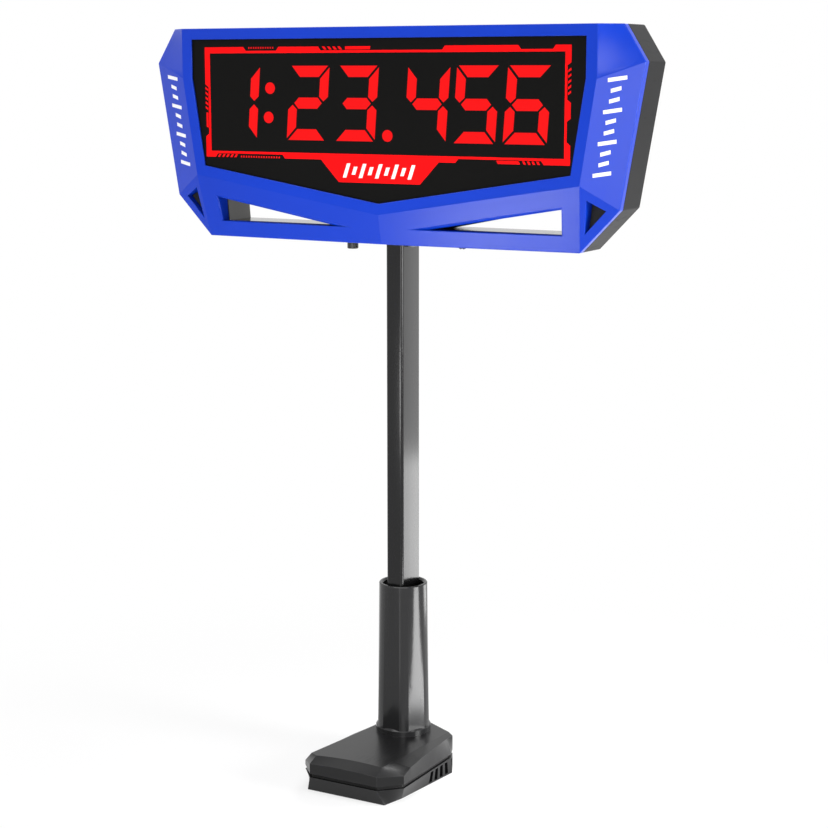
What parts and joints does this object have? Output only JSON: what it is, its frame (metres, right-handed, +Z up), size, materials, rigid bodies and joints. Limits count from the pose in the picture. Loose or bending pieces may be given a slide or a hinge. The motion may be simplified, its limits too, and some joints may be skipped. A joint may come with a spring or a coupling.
{
  "type": "digital timer",
  "caption": "Large seven-segment timer display in a faceted case on a flat mast that slides in a tapered sleeve on a small weighted base.",
  "frame": {"origin": "on the surface that the base stands on, under the mast's axis", "axes": "+X to the reader's right, +Y to the back, +Z up along the mast"},
  "size_m": [0.3042, 0.089, 0.4255],
  "materials": {
    "blue_case": "satin moulded",
    "black_case": "fine matt moulded",
    "black_base": "satin moulded",
    "black_key": "satin moulded",
    "smoked_window": "polished",
    "red_ink": "printed",
    "white_ink": "printed",
    "lit_red": "lit",
    "led_block": "moulded",
    "board": "lacquered",
    "board_part": "moulded",
    "wire_cover": "extruded",
    "cell_can": "wrapped",
    "black_mast": "anodised",
    "steel": "plated",
    "weight_steel": "plain",
    "rubber": "matt"
  },
  "bodies": {
    "base": {"sleeve": "black_base", "guide_bush": "black_key", "clamp_plate": "steel", "sleeve_screws": "steel", "lower_shell": "black_base", "upper_shell": "black_base", "seam_band": "rubber", "ballast_plate": "weight_steel", "base_screws": "steel", "rubber_pad": "rubber"},
    "button": {"mode_button": "black_key"},
    "switch": {"switch_knob": "black_key"},
    "mast": {"front_bezel": "blue_case", "rear_shell": "black_case", "display_window": "smoked_window", "border_print": "red_ink", "plaque_bars": "white_ink", "wing_marks": "white_ink", "lit_segments": "lit_red", "digit_modules": "led_block", "dot_lamps": "led_block", "led_board": "board", "radio_module": "board_part", "processor_chip": "board_part", "sounder": "board_part", "board_screws": "steel", "case_screws": "steel", "battery_tray": "black_case", "battery_cells": "cell_can", "battery_contacts": "steel", "battery_door": "black_case", "leads": "wire_cover", "button_switch": "board_part", "switch_body": "board_part", "mast_tube": "black_mast", "mast_foot": "black_key", "mast_bracket": "steel", "bracket_screws": "steel"}
  },
  "joints": [
    {"name": "mast_slide", "type": "slide", "parent": "base", "child": "mast", "axis": [0, 0, 1], "range_m": [0, 0.06]},
    {"name": "button_press", "type": "slide", "parent": "mast", "child": "button", "axis": [0, 0, 1], "range_m": [0, 0.0011], "stiffness_N_per_m": 300},
    {"name": "switch_slide", "type": "slide", "parent": "mast", "child": "switch", "axis": [1, 0, 0], "range_m": [0, 0.003]}
  ]
}
